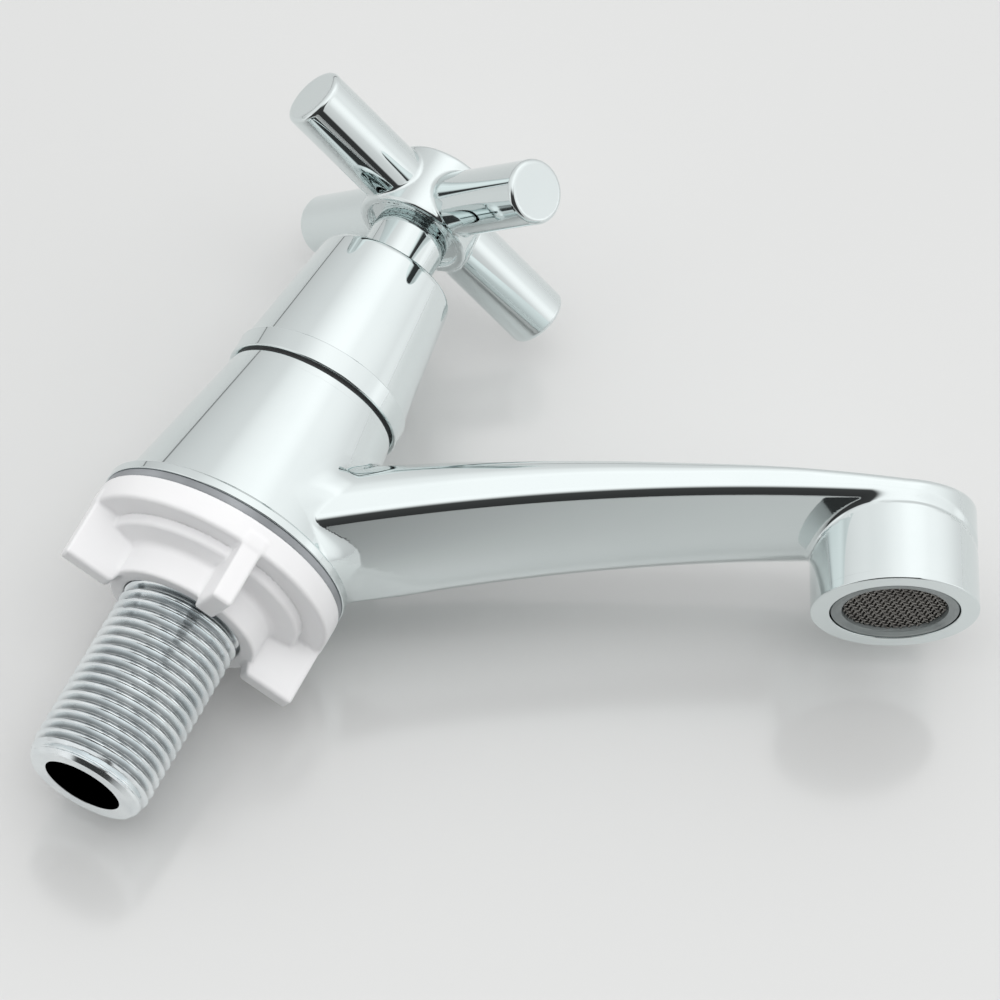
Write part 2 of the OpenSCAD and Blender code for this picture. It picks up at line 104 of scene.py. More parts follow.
def to_outlet(p):
    """Points of the tap's frame as u, y, w of the outlet's frame."""
    d = p - OUTLET
    c, s = math.cos(LEAN), math.sin(LEAN)
    return d[..., 0] * c + d[..., 2] * s, d[..., 1], d[..., 2] * c - d[..., 0] * s


print("outlet", OUTLET, "leans", round(math.degrees(LEAN), 1), "degrees")

# %% [markdown]
# A mesh needs corners, faces and, on polished metal, exact normals. Blender averages
# the normals of flat faces, which wobbles a reflection. Where a formula knows the
# surface's true direction, it is handed over as a custom normal instead.

# %% Put arrays into a mesh object
def make_piece(name, points, faces, body, node, normals=None):
    """Points in mm and faces as corner rows become one object that rides on a body."""
    mesh = bpy.data.meshes.new(name)
    points = np.asarray(points, dtype=np.float64) * MM
    faces = np.asarray(faces, dtype=np.int32)
    sides = faces.shape[1]
    mesh.vertices.add(len(points))
    mesh.vertices.foreach_set("co", points.astype(np.float32).ravel())
    mesh.loops.add(faces.size)
    mesh.loops.foreach_set("vertex_index", faces.ravel())
    mesh.polygons.add(len(faces))
    mesh.polygons.foreach_set("loop_start", np.arange(0, faces.size, sides, dtype=np.int32))
    mesh.update(calc_edges=True)
    mesh.validate()
    mesh.polygons.foreach_set("use_smooth", np.ones(len(mesh.polygons), dtype=bool))
    if normals is not None:
        mesh.normals_split_custom_set_from_vertices(np.asarray(normals, dtype=np.float32))
    piece = bpy.data.objects.new(name, mesh)
    bpy.context.scene.collection.objects.link(piece)
    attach(piece, body)
    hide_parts(*([node] if isinstance(node, str) else node))
    print(f"{name}: {len(points)} points, {len(mesh.polygons)} faces")
    return piece


def grid_faces(rows, cols, wrap_rows=False, wrap_cols=True):
    """Faces between neighbours of a grid; a wrapped side joins its last to its first."""
    i = np.arange(rows if wrap_rows else rows - 1)
    j = np.arange(cols if wrap_cols else cols - 1)
    i, j = (a.ravel() for a in np.meshgrid(i, j, indexing="ij"))
    i1, j1 = (i + 1) % rows, (j + 1) % cols
    return np.stack([i * cols + j, i * cols + j1, i1 * cols + j1, i1 * cols + j], axis=1)

# %% [markdown]
# The body is one casting: a cone, a round foot, a flat spout that sweeps out of it and
# a short round head. Separate meshes would meet in hard lines, and joining them with a
# boolean leaves no fillets. A field does it better: a function that is negative inside
# the metal, zero on its skin and grows like a distance. Two fields join by their
# smaller value and cut by their larger one, and a rounded form of both gives the
# fillets and the edges that a polisher leaves.

# %% Rounded joins and cuts of two fields
def cut(a, b, k):
    """The larger of two fields, with the edge between them rounded to radius k."""
    k = np.maximum(k, 1e-6)
    return np.minimum(np.maximum(a, b), -k) + np.hypot(np.maximum(a + k, 0), np.maximum(b + k, 0))


def join(a, b, k):
    """The smaller of two fields, with a hollow fillet of radius k between them."""
    k = np.maximum(k, 1e-6)
    return np.maximum(np.minimum(a, b), k) - np.hypot(np.maximum(k - a, 0), np.maximum(k - b, 0))


def smooth(x, lo, hi):
    """0 below lo, 1 above hi and an S-shaped curve between."""
    t = np.clip((x - lo) / (hi - lo), 0, 1)
    return t * t * (3 - 2 * t)


def along_spout(heights, u):
    """The parabola through three heights: at the outlet, half way and at the body."""
    t = -np.where(u > 0, 0.3 * u, u) / SPOUT
    first, middle, last = heights
    return first + (4 * middle - 3 * first - last) * t + 2 * (first + last - 2 * middle) * t * t


def half_width(u):
    """The spout widens evenly from the head to the body."""
    return HEAD_R + (ROOT_HALF - HEAD_R) * np.maximum(-u, 0) / SPOUT


corner = np.float64(-0.2929)
print("a right angle rounded by 1:", round(float(cut(corner, corner, 1)), 3))

# %% [markdown]
# The spout has four faces: a top that is flat at the outlet and sweeps up into the cone
# in a crown, two side strips, and a belly of two flanks that meet in a rounded keel. Its
# heights change along it as parabolas. Where a face is steep its height is divided by its
# slope, so that the field still measures distance.

# %% The body's field
def spout_field(u, y, w):
    """Top: edge + crown (1 - (y/half)^2).
    Belly: edge - flank (sqrt(half^2 + KEEL^2) - sqrt(y^2 + KEEL^2))."""
    back = np.maximum(-u, 0)
    half = half_width(u)
    head = np.hypot(u, y) - HEAD_R
    side = np.where(u > 0, head, np.abs(y) - half)
    crown = 0.86 + 6.47 * smooth(back, 20, 100)
    top = w - along_spout(UPPER_EDGE, u) - crown * (1 - (y / half) ** 2)
    top = top / np.hypot(1, 2 * crown * y / half**2)
    flank = 0.45 + 0.36 * back / SPOUT
    keel = np.hypot(y, KEEL)
    depth = flank * (np.hypot(half, KEEL) - keel)
    low = (along_spout(LOWER_EDGE, u) - depth - w) / np.hypot(1, flank * y / keel)
    under = join(low, np.maximum(head, -w), 1.0)
    crease = (1.35 - 0.35 * back / SPOUT) * (1 - smooth(low, 0.4, 1.6))
    shell = cut(cut(side, top, 1.3 + smooth(back, 15, 40)), under, crease)
    shell = cut(shell, 0.2 - w, 0.6)
    socket = np.maximum(np.hypot(u, y) - SOCKET_R, w - 10.4)
    return cut(shell, -socket, 0.12)


def cone_radius(z):
    """The tapered body's radius: a straight line from CONE_FOOT (radius, height) to its top."""
    foot_r, foot_z = CONE_FOOT
    return foot_r + (CONE_TOP_R - foot_r) * (z - foot_z) / (BODY_H - foot_z)


def cone_field(r, z):
    """The tapered body, ending under its top edge, which the turned collar makes."""
    slope = (CONE_FOOT[0] - CONE_TOP_R) / (BODY_H - CONE_FOOT[1])
    side = (r - cone_radius(z)) / math.hypot(1, slope)
    return cut(side, np.maximum(z - BODY_H + UNDER_COLLAR, 2 - z), 0.3)


def body_field(p):
    """Cone and spout joined, less the bores for tail, valve and headwork."""
    x, z = p[..., 0], p[..., 2]
    r = np.hypot(x, p[..., 1])
    u, y, w = to_outlet(p)
    spout = np.maximum(spout_field(u, y, w), 2.3 - z)
    spout = np.where(x > -6, spout, np.maximum(spout, -6 - x))
    inward = smooth(half_width(u) - np.abs(y), 0, 6)
    upper = smooth(w - along_spout(LOWER_EDGE, u), 0.2, 6.5)
    fillet = 0.5 + inward * (0.8 + 2.4 * smooth(-z, -19, -9)) + 2.9 * (1 - inward) * upper
    solid = join(cone_field(r, z), spout, fillet)
    solid = np.maximum(solid, GASKET_TOP + 0.1 - z)
    bores = ((10.3, -9, 8), (6, 7, 13), (12.5, 9.8, 21), (10.03, 20, 40))
    for radius, low, high in bores:
        solid = cut(solid, -np.maximum(r - radius, np.maximum(low - z, z - high)), 0.2)
    return solid


print("field 1 mm over the cone:", round(float(cone_field(np.array(17.9), np.array(21.0))), 3))

# %% [markdown]
# A field is not a mesh yet. Surface nets turn it into one: space is filled with small
# cells, each cell that the skin passes through gets one corner, and the corners of four
# cells round an edge that crosses the skin make a face. The corners are then slid along
# the field's gradient until the field is zero there, and the gradient is also the exact
# normal that polished metal needs. The cells need not be cubes. For the body they follow
# the spout's lower edges and are smallest there, so that the edges come out clean.

# %% Turn a field into a mesh
def gradient(field, p):
    """Slope of the field by central differences along the three axes."""
    step = 0.01
    out = np.empty_like(p)
    for axis in range(3):
        shift = np.zeros(3)
        shift[axis] = step
        out[:, axis] = (field(p + shift) - field(p - shift)) / (2 * step)
    return out


def surface_net(field, axes, to_space):
    """Corners in the cells that the zero surface crosses, faces round the crossed edges."""
    n = [len(a) for a in axes]
    value = np.empty(n, dtype=np.float32)
    yy, zz = np.meshgrid(axes[1], axes[2], indexing="ij")
    for start in range(0, n[0], 16):
        xs = axes[0][start:start + 16]
        grid = np.empty((len(xs), n[1], n[2], 3))
        grid[..., 0], grid[..., 1], grid[..., 2] = xs[:, None, None], yy, zz
        value[start:start + 16] = field(to_space(grid))
    inside = value < 0
    count = np.zeros([k - 1 for k in n], dtype=np.int8)
    total = np.zeros([k - 1 for k in n] + [3], dtype=np.float32)
    for axis in range(3):
        a = [slice(None)] * 3
        b = [slice(None)] * 3
        a[axis], b[axis] = slice(0, -1), slice(1, None)
        va, vb = value[tuple(a)], value[tuple(b)]
        crossed = inside[tuple(a)] != inside[tuple(b)]
        t = np.where(crossed, va / np.where(crossed, va - vb, 1), 0)
        others = [k for k in range(3) if k != axis]
        for d0 in (0, 1):
            for d1 in (0, 1):
                pick = [slice(None)] * 3
                pick[others[0]] = slice(d0, n[others[0]] - 1 + d0)
                pick[others[1]] = slice(d1, n[others[1]] - 1 + d1)
                hit = crossed[tuple(pick)]
                count += hit
                total[..., axis] += np.where(hit, t[tuple(pick)], 0)
                total[..., others[0]] += hit * d0
                total[..., others[1]] += hit * d1
    used = count > 0
    index = np.full(used.shape, -1, dtype=np.int64)
    index[used] = np.arange(used.sum())
    cube = np.argwhere(used)
    place = cube + total[used] / count[used][:, None]
    places = [np.interp(place[:, k], np.arange(n[k]), axes[k]) for k in range(3)]
    points = to_space(np.stack(places, axis=1))
    faces = []
    for axis in range(3):
        o0, o1 = [(1, 2), (2, 0), (0, 1)][axis]
        a = [slice(1, -1)] * 3
        a[axis] = slice(0, -1)
        b = [slice(1, -1)] * 3
        b[axis] = slice(1, None)
        start_in, end_in = inside[tuple(a)], inside[tuple(b)]
        cells = np.argwhere(start_in != end_in)
        leaving = start_in[tuple(cells.T)]
        corner = cells.copy()
        corner[:, o0] += 1
        corner[:, o1] += 1
        ring = []
        for d0, d1 in ((-1, -1), (0, -1), (0, 0), (-1, 0)):
            c = corner.copy()
            c[:, o0] += d0
            c[:, o1] += d1
            ring.append(index[c[:, 0], c[:, 1], c[:, 2]])
        ring = np.stack(ring, axis=1)
        faces.append(np.where(leaving[:, None], ring, ring[:, ::-1]))
    faces = np.concatenate(faces)
    netted = points
    for _ in range(4):
        slope = gradient(field, points)
        size = np.maximum((slope**2).sum(axis=1), 0.05)
        move = -(field(points) / size)[:, None] * slope
        far = np.maximum(np.linalg.norm(move, axis=1, keepdims=True), 1e-9)
        points = points + move * np.minimum(1, 0.2 / far)
    # a corner that finds no zero stays where the net put it
    settled = np.abs(field(points)) < 0.02
    points = np.where(settled[:, None], points, netted)
    slope = gradient(field, points)
    return points, faces, slope / np.maximum(np.linalg.norm(slope, axis=1, keepdims=True), 1e-9)


def steps(*marks):
    """Grid lines from mark to mark, each stretch with its own step: place, step, place."""
    stretches = zip(marks[::2], marks[1::2], marks[2::2])
    parts = [np.arange(a, b - step / 2, step) for a, step, b in stretches]
    return np.concatenate(parts + [[marks[-1]]])


def spout_space(q):
    """Along, across and up the spout, with the lower edges at ROOT_HALF across and 0 up."""
    a, b, c = q[..., 0], q[..., 1], q[..., 2]
    across, up = b * half_width(a) / ROOT_HALF, c + along_spout(LOWER_EDGE, a)
    return at_outlet(np.stack([a, across, up], axis=-1))


half = steps(0.31, 0.62, 13.1, 0.2, 15.9, 0.6, 21.3)
points, faces, normals = surface_net(body_field, [
    steps(-132, 0.62, -104, 0.5, -16, 0.34, 1, 0.5, 14.5), np.concatenate([-half[::-1], half]),
    steps(-15, 0.55, -2.1, 0.2, 1.9, 0.45, 9.9, 0.62, 46)], spout_space)
tap_body = make_piece("tap_body", points, faces, "tap", "body", normals)

# %% [markdown]
# The cross handle is one casting too: a short tapered hub and four round arms with
# softly broken ends. The same net is used, with finer cells because the arms are thin.
# The front arm's flat end stays bare.

# %% The handle's field
def arm_field(p, turn):
    """A rod along one direction of the level plane, its end rounded by 0.9 mm."""
    c, s = math.cos(math.radians(turn)), math.sin(math.radians(turn))
    along = p[..., 0] * c + p[..., 1] * s
    across = np.hypot(p[..., 1] * c - p[..., 0] * s, p[..., 2] - ARM_Z)
    return cut(cut(across - ARM_R, along - ARM_END, 0.9), -along, 0.1)


def handle_field(p):
    """Hub and arms joined by small fillets, less the screw's well and the neck's seat."""
    r, z = np.hypot(p[..., 0], p[..., 1]), p[..., 2]
    side = (r - 10 + 0.0794 * (z - HUB_Z)) / 1.0031
    hub = cut(cut(side, z - HUB_Z - 12.6, 1.0), HUB_Z - z, 0.7)
    arms = np.minimum(arm_field(p, ARM_TURN), arm_field(p, ARM_TURN + 180))
    arms = np.minimum(arms, np.minimum(arm_field(p, ARM_TURN + 90), arm_field(p, ARM_TURN - 90)))
    solid = join(hub, arms, 0.45)
    recess = np.maximum(r - 8.3, z - HUB_Z - 1.0)
    solid = cut(solid, -recess, 0.25)
    well = np.maximum(r - 6.25, HUB_Z + 11.3 - z)
    solid = cut(solid, -well, 0.2)
    bore = np.maximum(r - 4.3, np.maximum(HUB_Z - 1 - z, z - HUB_Z - 14))
    return cut(solid, -bore, 0.2)


def turned_space(angle):
    """Turns a grid about the axis, so that arms or wings lie along its lines."""
    c, s = math.cos(math.radians(angle)), math.sin(math.radians(angle))
    return lambda q: np.stack([q[..., 0] * c - q[..., 1] * s,
                               q[..., 0] * s + q[..., 1] * c, q[..., 2]], axis=-1)


level = steps(-30, 0.34, 30)
points, faces, normals = surface_net(
    handle_field, [level, level, steps(67.3, 0.34, 81.6)], turned_space(ARM_TURN))
handle = make_piece("cross_handle", points, faces, "control", "handle", normals)

# %% [markdown]
# Bonnet, neck, cap, rings and seals were turned on a lathe, so each is a profile
# carried round an axis. A list of corners with a rounding for each gives the profile;
# the arcs between the straight parts are what catches the light at an edge. The
# body's foot, the collar at its top and its outlet rim are turned too, because the
# netted casting's cells are too coarse for edges that fine. Collar and rim lie a
# hundredth of a millimetre or less over it.

# %% Turned pieces
def rounded(corners, arc):
    """Each corner (r, z, radius) of a closed outline becomes an arc between its sides."""
    c = np.array([k[:2] for k in corners], dtype=float)
    out = []
    for i, (_, _, radius) in enumerate(corners):
        here, before, after = c[i], c[i - 1], c[(i + 1) % len(c)]
        a, b = before - here, after - here
        la, lb = np.linalg.norm(a), np.linalg.norm(b)
        a, b = a / la, b / lb
        half = math.acos(np.clip(a @ b, -1, 1)) / 2
        if radius <= 0 or half > 1.55:
            out.append(here[None])
            continue
        back = min(radius / math.tan(half), 0.49 * la, 0.49 * lb)
        r = back * math.tan(half)
        middle = here + (a + b) / np.linalg.norm(a + b) * r / math.sin(half)
        v0, v1 = here + a * back - middle, here + b * back - middle
        a0 = math.atan2(v0[1], v0[0])
        turn = (math.atan2(v1[1], v1[0]) - a0 + math.pi) % (2 * math.pi) - math.pi
        t = a0 + turn * np.linspace(0, 1, arc)
        out.append(middle + r * np.stack([np.cos(t), np.sin(t)], axis=1))
    return np.concatenate(out)


def lathe(corners, around, arc=7, place=None):
    """A closed outline in (r, z), with r never 0, carried round the axis in equal steps."""
    ring = rounded(corners, arc)
    area = np.sum(ring[:, 0] * np.roll(ring[:, 1], -1) - np.roll(ring[:, 0], -1) * ring[:, 1])
    if area < 0:
        ring = ring[::-1]
    # long sides are split into parts of at most 4 mm
    dense = []
    for a, b in zip(ring, np.roll(ring, -1, axis=0)):
        pieces = max(1, int(np.ceil(np.linalg.norm(b - a) / 4)))
        dense.append(a + (b - a) * np.arange(pieces)[:, None] / pieces)
    ring = np.concatenate(dense)
    turn = np.arange(around) * 2 * math.pi / around
    points = np.stack([np.outer(ring[:, 0], np.cos(turn)), np.outer(ring[:, 0], np.sin(turn)),
                       np.outer(ring[:, 1], np.ones(around))], axis=-1).reshape(-1, 3)
    faces = grid_faces(len(ring), around, wrap_rows=True)
    # a corner's normal is square to the line between its two neighbours
    along = np.roll(ring, -1, axis=0) - np.roll(ring, 1, axis=0)
    along /= np.linalg.norm(along, axis=1, keepdims=True)
    out = np.stack([along[:, 1], -along[:, 0]], axis=1)
    normals = np.stack([np.outer(out[:, 0], np.cos(turn)), np.outer(out[:, 0], np.sin(turn)),
                        np.outer(out[:, 1], np.ones(around))], axis=-1).reshape(-1, 3)
    if place is not None:
        points, normals = place(points), place(normals, True)
    return points, faces, normals


def turned(name, corners, body, node, slot, **options):
    """One turned piece, from outline to object."""
    points, faces, normals = lathe(corners, **options)
    return make_piece(name, points, faces, body, node, normals)


foot = turned("round_foot", [
    (17.0, GASKET_TOP, 0), (FOOT_R, GASKET_TOP, 0.2), (FOOT_R, 2.9, 0.35), (20.4, 3.5, 0.2),
    (19.9, 4.4, 0), (17.0, 4.4, 0)], "tap", "body", "chrome_body", around=300)
low = BODY_H - COLLAR_H
collar = turned("body_collar", [
    (10.6, low, 0), (cone_radius(low) + 0.01, low, 0.03), (cone_radius(BODY_H) + 0.01, BODY_H, 0.3),
    (10.6, BODY_H, 0)], "tap", "body", "chrome_body", around=300)
rim = turned("outlet_rim", [
    (10.74, 1.2, 0), (10.74, 0, 0.15), (HEAD_R + 0.005, 0, 0.3), (HEAD_R + 0.005, 1.6, 0.03),
    (12, 1.6, 0)], "tap", "body", "chrome_body", around=300, place=at_outlet)
bonnet = turned("bonnet_cover", [
    (14.2, 31.9, 0.1), (BONNET_R, 31.9, 0.3), (BONNET_R, 35.8, 0.35), (15.05, 35.85, 0.08),
    (11.95, BONNET_TOP, 1.5), (6.9, BONNET_TOP, 0.25), (6.9, 57.2, 0.1), (10.6, 57.2, 0.3),
    (13.6, 35.9, 0.3)], "tap", "bonnet", "chrome_trim", around=240, arc=9)
neck = turned("neck_sleeve", [
    (4.7, 56.4, 0.1), (NECK_R, 56.4, 0.2), (NECK_R, 69.0, 0.05), (4.7, 69.0, 0.05)],
    "control", "neck", "chrome_trim", around=200)
cap = turned("cap_plug", [
    (0.02, 79.3, 0), (6.2, 79.3, 0.1), (6.2, 80.8, 0.35), (0.02, 81.7, 0)],
    "control", "index_cap", "chrome_handle", around=120)

# %% [markdown]
# The tail is a half-inch pipe thread: 55 degree flanks with rounded crests and roots,
# fourteen turns to the inch. One function gives its radius at any height and angle: a
# ridge that climbs one pitch in each turn. Near the open end a chamfer cuts it down.

# %% The threaded tail
def tail_radius(z, turn):
    """Crest less HALF_DEPTH (f + (1 - cos(pi f)) / 2), with f from 0 to 1 down the flank."""
    phase = (z - turn / (2 * math.pi) * PITCH) / PITCH
    wave = np.abs(2 * (phase - np.floor(phase)) - 1)
    flank = np.clip((wave - 0.08) / 0.84, 0, 1)
    crest = THREAD_R - HALF_DEPTH * (flank + 0.5 - 0.5 * np.cos(math.pi * flank))
    chamfer = 9.15 + 0.95 * (z - TAIL_END)
    return np.minimum(crest, np.minimum(chamfer, 9.55 + 0.32 * (z - TAIL_END)))


def tail_grid(z0, z1, rows, around):
    """The thread's outside on an even grid of height and angle, with its exact normals."""
    z = np.linspace(z0, z1, rows)[:, None]
    turn = (np.arange(around) * 2 * math.pi / around)[None, :]
    r = tail_radius(z, turn)
    dz = (tail_radius(z + 0.004, turn) - tail_radius(z - 0.004, turn)) / 0.008
    dt = (tail_radius(z, turn + 0.002) - tail_radius(z, turn - 0.002)) / 0.004
    c, s = np.cos(turn), np.sin(turn)
    points = np.stack([r * c, r * s, z + 0 * r], axis=-1)
    normals = np.stack([c + dt / r * s, s - dt / r * c, -dz], axis=-1)
    return points, normals / np.linalg.norm(normals, axis=-1, keepdims=True)


rows, around = 420, 220
outside, out_normals = tail_grid(TAIL_END, -8.0, rows, around)
turn = np.arange(around) * 2 * math.pi / around
circle = np.stack([np.cos(turn), np.sin(turn)], axis=1)
# Radius and height, then how far the normal points inwards and downwards
rings = [(9.15, TAIL_END, 0, 1), (BORE_R + 0.15, TAIL_END, 0, 1), (BORE_R, TAIL_END + 0.15, 1, 0),
         (BORE_R, 7.0, 1, 0), (BORE_R, 7.0, 0, -1), (10.27, 7.0, 0, -1), (10.27, 7.0, -1, 0),
         (10.27, -8.0, -1, 0)]
closing = np.stack([np.column_stack([r * circle, np.full(around, z)]) for r, z, _, _ in rings])
closing_normals = np.stack([np.column_stack([-inwards * circle, np.full(around, -downwards)])
                            for _, _, inwards, downwards in rings])
points = np.concatenate([outside[::-1], closing]).reshape(-1, 3)
normals = np.concatenate([out_normals[::-1], closing_normals]).reshape(-1, 3)
faces = grid_faces(rows + len(rings), around, wrap_rows=True)[:, ::-1]
tail = make_piece("threaded_tail", points, faces, "tap", "inlet_tail", normals)

# %% [markdown]
# The wing nut is moulded plastic: a wide thin flange, a hub and four wings, with every
# edge rounded by about half a millimetre. It is a field again, because wings that run
# into a round flange need soft hollows where they meet it.

# %% The wing nut
def nut_field(p):
    """Flange, step and hub as rounded rings joined to four wings, less the bore."""
    x, y, z = p[..., 0], p[..., 1], p[..., 2]
    r = np.hypot(x, y)
    flange = cut(cut(r - FLANGE_R, z, 0.4), -4.5 - z, 0.7)
    ledge = cut(cut(r - 17.65, z + 0.5, 0.2), -6.4 - z - 0.17 * (17.65 - r), 0.6)
    hub = cut(cut(r - NUT_HUB_R, z + 0.5, 0.2), -12.7 - z, 0.5)
    solid = join(np.minimum(flange, ledge), hub, 0.9)
    for k in range(4):
        a = math.radians(WING_TURN + 90 * k)
        along, across = x * math.cos(a) + y * math.sin(a), y * math.cos(a) - x * math.sin(a)
        inner = (2.6 * (12.3 - along) - 12.1 - z) / 2.786
        wing = cut(np.abs(across) - WING_HALF, np.maximum(along - FLANGE_R, inner), 0.5)
        wing = cut(wing, np.maximum(-14.7 - z, z + 2), 0.6)
        solid = join(solid, wing, 0.6)
    return cut(np.maximum(solid, z), -(r - 10.57), 0.25)


level = steps(-23, 0.42, 23)
points, faces, normals = surface_net(
    nut_field, [level, level, steps(-16, 0.38, 1)], turned_space(WING_TURN))
nut = make_piece("wing_nut", points, faces, "nut", "backnut", normals)

# %% [markdown]
# Under the foot sits the grey ring that seals it to the basin, and in the outlet sits
# the aerator: a grey ring with a disc of woven wire in it.

# %% Gasket and aerator ring
gasket = turned("foot_gasket", [
    (10.8, 0.0, 0.1), (21.85, 0.0, 0.35), (21.85, GASKET_TOP, 0.35), (10.8, GASKET_TOP, 0.1)],
    "tap", "base_gasket", "grey_gasket", around=240)
ring = turned("aerator_ring", [
    (8.6, 1.1, 0.1), (8.75, 0.35, 0.2), (9.7, 0.12, 0.3), (10.45, 0.12, 0.25), (10.64, 0.5, 0.15),
    (10.64, 9.0, 0.2), (8.8, 9.0, 0.2)], "tap", "aerator_housing", "aerator_grey", around=200,
    place=at_outlet)

# %% [markdown]
# Woven wire is two sets of waves at right angles. Each wire is a circle carried along a
# sine curve that passes over one crossing wire and under the next, and its neighbour
# starts half a wave later. All wires are worked out in one go and trimmed to the disc.

# %% Woven wire disc
def woven_disc(radius, pitch, thick, level, turn):
    """Tubes along waves: level + swing cos(pi (place / pitch + the wire's number))."""
    half_count = int(radius / pitch)
    number = np.arange(-half_count, half_count + 1)
    t = np.linspace(-1, 1, 97)
    ring = np.arange(6) * math.pi / 3
    n, tt, a = np.meshgrid(number, t, ring, indexing="ij")
    reach = np.sqrt(np.maximum(radius**2 - (n * pitch) ** 2, 0.04))
    along = reach * tt
    swing = 0.55 * thick
    all_points = []
    for layer in (0, 1):
        height = swing * np.cos(math.pi * along / pitch + math.pi * (n + layer))
        side = n * pitch + thick / 2 * np.cos(a)
        up = level + height + thick / 2 * np.sin(a)
        x, y = (along, side) if layer == 0 else (side, along)
        c, s = math.cos(turn), math.sin(turn)
        all_points.append(np.stack([x * c - y * s, x * s + y * c, up], axis=-1))
    per_wire = len(t) * len(ring)
    last = per_wire - len(ring)
    ends = np.array([[0, 3, 2, 1], [0, 5, 4, 3], [last, last + 1, last + 2, last + 3],
                     [last, last + 3, last + 4, last + 5]])
    tube = np.concatenate([grid_faces(len(t), len(ring))[:, ::-1], ends[:, ::-1]])
    wires = np.arange(2 * len(number)) * per_wire
    sides = (tube[None] + wires[:, None, None]).reshape(-1, 4)
    # the first layer's x and y are exchanged against the second's, which turns its faces
    first = len(number) * len(tube)
    sides[:first] = sides[:first, ::-1]
    return np.stack(all_points).reshape(-1, 3), sides


points, faces = woven_disc(radius=8.5, pitch=0.98, thick=0.36, level=1.15, turn=0.35)
points = at_outlet(points)
mesh_disc = make_piece("aerator_gauze", points, faces, "tap", "aerator_mesh")

# %% [markdown]
# The camera looks at the tap from the side of the spout and from below, because the
# tap lies down. Its place and lens were found beforehand by matching about 200 points
# of the tap with the picture. Its distance is the least certain of these.

# %% Camera
EYE = Vector((0.129373, -0.664600, -0.268956))
FORWARD = Vector((-0.12787, 0.90377, 0.40847)).normalized()
UP = Vector((-0.44118, -0.42069, 0.79270))
FOCAL = 4.4818  # in widths of the picture
right = FORWARD.cross(UP).normalized()
UP = right.cross(FORWARD)
lens = bpy.data.cameras.new("camera")
lens.sensor_width = 36
lens.lens = FOCAL * lens.sensor_width
lens.clip_start, lens.clip_end = 0.05, 20
camera = bpy.data.objects.new("camera", lens)
turned_by = Matrix((right, UP, -FORWARD)).transposed()
camera.matrix_world = Matrix.Translation(EYE) @ turned_by.to_4x4()
bpy.context.scene.collection.objects.link(camera)
bpy.context.scene.camera = camera
print("lens", round(lens.lens, 1), "mm")

# %% [markdown]
# The table top is a plane in the tap's frame that touches the tap's lowest point, on
# the rim of the nut's flange. It is tilted by about five degrees against the way a
# loose tap would settle: an arm ends 6 mm above it and the outlet's rim 9 mm. Its far
# edge shows in the chrome as a thin line, so it ends two thirds of a metre behind.

# %% Table top
TABLE_UP = np.array([-0.053, -0.991, 0.124])
TABLE_UP /= np.linalg.norm(TABLE_UP)


def lowest(piece):
    """The smallest height of a piece's points along the table's upward direction."""
    flat = np.empty(3 * len(piece.data.vertices), dtype=np.float32)
    piece.data.vertices.foreach_get("co", flat)
    return float((flat.reshape(-1, 3) @ TABLE_UP).min())


table_height = min(lowest(piece) for piece in (nut, handle, tap_body))
ALONG = np.array(right) - TABLE_UP * (np.array(right) @ TABLE_UP)
ALONG /= np.linalg.norm(ALONG)
AWAY = np.cross(TABLE_UP, ALONG)
a, b = np.meshgrid(np.linspace(-2, 2, 9), np.linspace(-2, 0.65, 9), indexing="ij")
points = TABLE_UP * table_height + a[..., None] * ALONG + b[..., None] * AWAY
mesh = bpy.data.meshes.new("table_top")
mesh.from_pydata(points.reshape(-1, 3).tolist(), [], grid_faces(9, 9, wrap_cols=False).tolist())
if np.array(mesh.polygons[0].normal) @ TABLE_UP < 0:
    mesh.flip_normals()
table = bpy.data.objects.new("table_top", mesh)
bpy.context.scene.collection.objects.link(table)
print("the table lies", round(-1000 * table_height, 1), "mm below the body's axis")

# %% [markdown]
# A material is a small graph of nodes. Two helpers keep the graphs readable: one adds a
# node and fills or joins its sockets, the other adds a sum, a product and so on.

# %% Helpers for node graphs
def put(tree, kind, values=(), **settings):
    """Adds a node; values are numbers for its sockets or other nodes' outputs to join to them."""
    node = tree.nodes.new("ShaderNode" + kind)
    for key, value in settings.items():
        setattr(node, key, value)
    for key, value in (values.items() if isinstance(values, dict) else enumerate(values)):
        if isinstance(value, bpy.types.NodeSocket):
            tree.links.new(value, node.inputs[key])
        else:
            node.inputs[key].default_value = value
    return node


def calc(tree, operation, *values):
    """One Math node, such as ADD or MULTIPLY."""
    return put(tree, "Math", values, operation=operation).outputs[0]


def fade(tree, value, low, high, start=0.0, end=1.0):
    """An S-shaped step from start to end while the value goes from low to high."""
    ends = {"Value": value, "From Min": low, "From Max": high, "To Min": start, "To Max": end}
    return put(tree, "MapRange", ends, interpolation_type="SMOOTHSTEP").outputs[0]


def between(tree, amount, low, high):
    """low + amount (high - low)."""
    return calc(tree, "ADD", low, calc(tree, "MULTIPLY", amount, calc(tree, "SUBTRACT", high, low)))


def blend(tree, amount, dark, light):
    """One colour mixed into another."""
    return put(tree, "Mix", {0: amount, 6: (*dark, 1), 7: (*light, 1)}, data_type="RGBA").outputs[2]


def round_axis(tree):
    """Distance from the object's Z axis, and the height along it."""
    x, y, z = put(tree, "SeparateXYZ", [put(tree, "TexCoord").outputs["Object"]]).outputs
    squares = calc(tree, "ADD", calc(tree, "MULTIPLY", x, x), calc(tree, "MULTIPLY", y, y))
    return calc(tree, "SQRT", squares), z


# %% [markdown]
# Chrome shows what stands round it, so the room is drawn by direction. Each shiny point
# of the picture says how bright the room is where its reflection points: a wall that
# grows brighter upwards, eight soft lights, and a large dark shape on the camera's
# side from the table up to 60 degrees. That shape gives the spout its long dark line and
# the arms their streaks. Plain rays from the camera see only an even pale backdrop.

